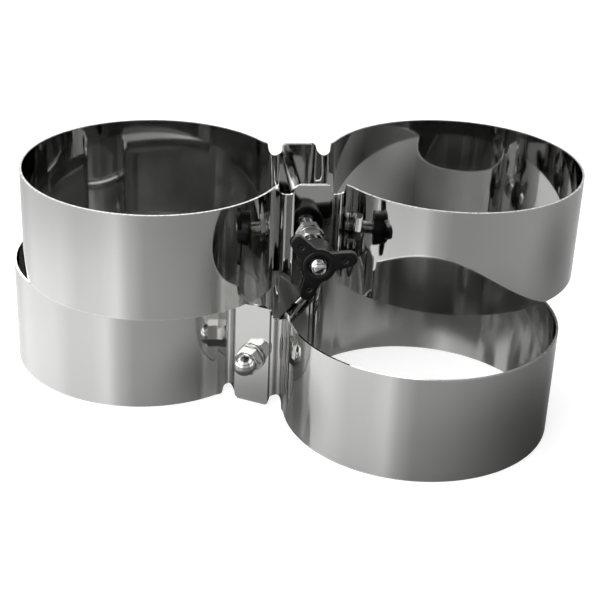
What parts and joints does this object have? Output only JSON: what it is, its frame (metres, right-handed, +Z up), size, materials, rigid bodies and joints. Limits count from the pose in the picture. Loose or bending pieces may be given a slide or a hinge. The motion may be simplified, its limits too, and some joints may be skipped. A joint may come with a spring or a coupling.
{
  "type": "twin cylinder band set",
  "caption": "Stacked figure-of-eight stainless steel bands that clamp a pair of gas cylinders side by side, each closed by a through bolt with a cap nut and a lobed hand knob.",
  "frame": {"origin": "centre of the box round both bands, on the plane the lower band stands on", "axes": "+Z up, along the axes of the cylinders the bands hold; +X along the upper band's long axis; +Y away from the upper band's hand knob"},
  "size_m": [0.4112, 0.291, 0.1527],
  "materials": {
    "strap_steel": "mirror polished sheet with a fine lengthwise grain",
    "fastener_steel": "polished stainless steel",
    "black_plastic": "moulded, half gloss",
    "insert_steel": "turned, slightly dull"
  },
  "bodies": {
    "lower_band": {"lower_left_strap": "strap_steel", "lower_right_strap": "strap_steel", "lower_clamp_bolt": "fastener_steel", "lower_knob_side_washer": "fastener_steel", "lower_hex_nut": "fastener_steel", "lower_cap_side_washer": "fastener_steel", "lower_cap_nut": "fastener_steel"},
    "lower_insert": {"lower_knob_insert": "insert_steel"},
    "lower_knob": {"lower_hand_knob": "black_plastic"},
    "upper_band": {"upper_left_strap": "strap_steel", "upper_right_strap": "strap_steel", "upper_clamp_bolt": "fastener_steel", "upper_knob_side_washer": "fastener_steel", "upper_hex_nut": "fastener_steel", "upper_cap_side_washer": "fastener_steel", "upper_cap_nut": "fastener_steel"},
    "upper_insert": {"upper_knob_insert": "insert_steel"},
    "upper_knob": {"upper_hand_knob": "black_plastic"}
  },
  "joints": [
    {"name": "upper_band_lift", "type": "slide", "parent": "lower_band", "child": "upper_band", "axis": [0, 0, 1], "range_m": [0, 0.16]},
    {"name": "upper_knob_travel", "type": "slide", "parent": "upper_band", "child": "upper_insert", "axis": [0, -1, 0], "range_m": [-0.015, 0.021]},
    {"name": "upper_knob_turn", "type": "hinge", "parent": "upper_insert", "child": "upper_knob", "pos_m": [0.00407, -0.04318, 0.1128], "axis": [0, -1, 0], "range_deg": [-3600, 5040]},
    {"name": "lower_knob_travel", "type": "slide", "parent": "lower_band", "child": "lower_insert", "axis": [0.4818, 0.8763, 0], "range_m": [-0.015, 0.021]},
    {"name": "lower_knob_turn", "type": "hinge", "parent": "lower_insert", "child": "lower_knob", "pos_m": [0.02063, 0.06923, 0.0363], "axis": [0.4818, 0.8763, 0], "range_deg": [-3600, 5040]}
  ],
  "couplings": [
    {"joint": "upper_knob_travel", "follows": "upper_knob_turn", "m_per_rad": 0.00023873},
    {"joint": "lower_knob_travel", "follows": "lower_knob_turn", "m_per_rad": 0.00023873}
  ]
}
